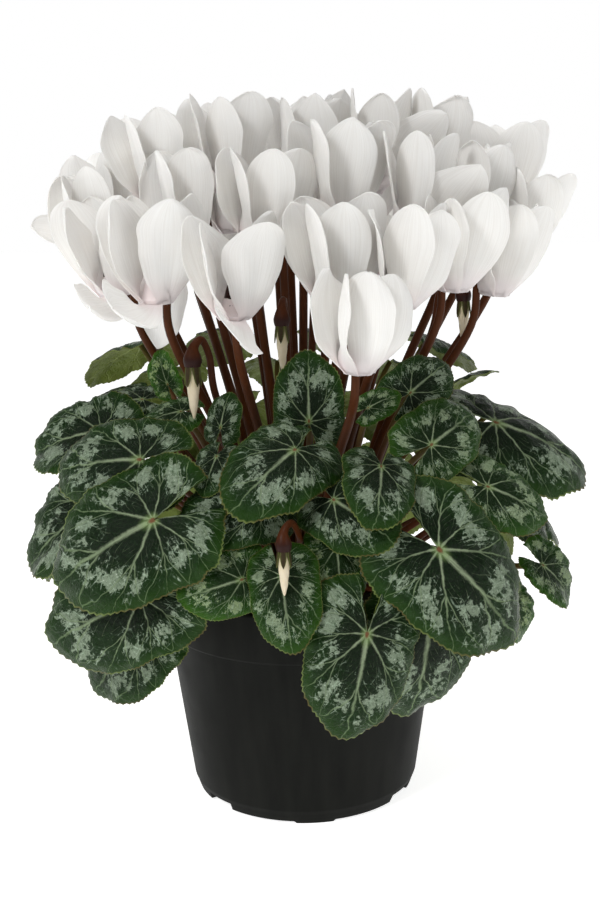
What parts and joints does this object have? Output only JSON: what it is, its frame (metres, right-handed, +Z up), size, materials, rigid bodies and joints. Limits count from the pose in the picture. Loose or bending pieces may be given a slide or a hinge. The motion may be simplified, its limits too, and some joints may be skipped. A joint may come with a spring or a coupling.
{
  "type": "potted cyclamen",
  "caption": "Cyclamen in a tapered nursery pot: a mound of marbled heart-shaped leaves on arching stalks under a dome of swept-back white blooms and hanging buds.",
  "frame": {"origin": "middle of the pot's underside", "axes": "+Z up, -Y towards the plant's front, +X to the right seen from the front"},
  "size_m": [0.2595, 0.2655, 0.3341],
  "materials": {
    "pot": "matt black plastic",
    "peat": "dark crumbly peat",
    "stem": "dark red-brown, softly glossy",
    "petal": "white, satin",
    "bud": "cream, satin",
    "leaf": "dark green with silver-grey marbling, waxy"
  },
  "bodies": {
    "root": {"pot": "pot", "soil": "peat", "tuber_and_flower_stems": "stem", "bloom_01": "petal", "bloom_02": "petal", "bloom_03": "petal", "bloom_04": "petal", "bloom_05": "petal", "bloom_06": "petal", "bloom_07": "petal", "bloom_08": "petal", "bloom_09": "petal", "bloom_10": "petal", "bloom_11": "petal", "bloom_12": "petal", "bloom_13": "petal", "bloom_14": "petal", "bloom_15": "petal", "bloom_16": "petal", "bloom_17": "petal", "bloom_18": "petal", "bloom_19": "petal", "bloom_20": "petal", "bloom_21": "petal", "bloom_22": "petal", "bloom_23": "petal", "bloom_24": "petal", "bloom_25": "petal", "bloom_26": "petal", "bloom_27": "petal", "bloom_28": "petal", "bloom_29": "petal", "bloom_30": "petal", "bloom_31": "petal", "bloom_32": "petal", "bloom_33": "petal", "bloom_34": "petal", "bud_1": "bud", "bud_2": "bud", "bud_3": "bud", "bud_4": "bud", "leaf_cluster_01": "leaf", "leaf_cluster_02": "leaf", "leaf_cluster_03": "leaf", "leaf_cluster_04": "leaf", "leaf_cluster_05": "leaf", "leaf_cluster_06": "leaf", "leaf_cluster_07": "leaf", "leaf_cluster_08": "leaf", "leaf_cluster_09": "leaf", "leaf_cluster_10": "leaf", "leaf_cluster_11": "leaf", "leaf_cluster_12": "leaf", "leaf_cluster_13": "leaf", "leaf_cluster_14": "leaf", "leaf_cluster_15": "leaf", "leaf_cluster_16": "leaf", "leaf_cluster_17": "leaf", "leaf_cluster_18": "leaf", "leaf_cluster_19": "leaf"}
  },
  "joints": []
}
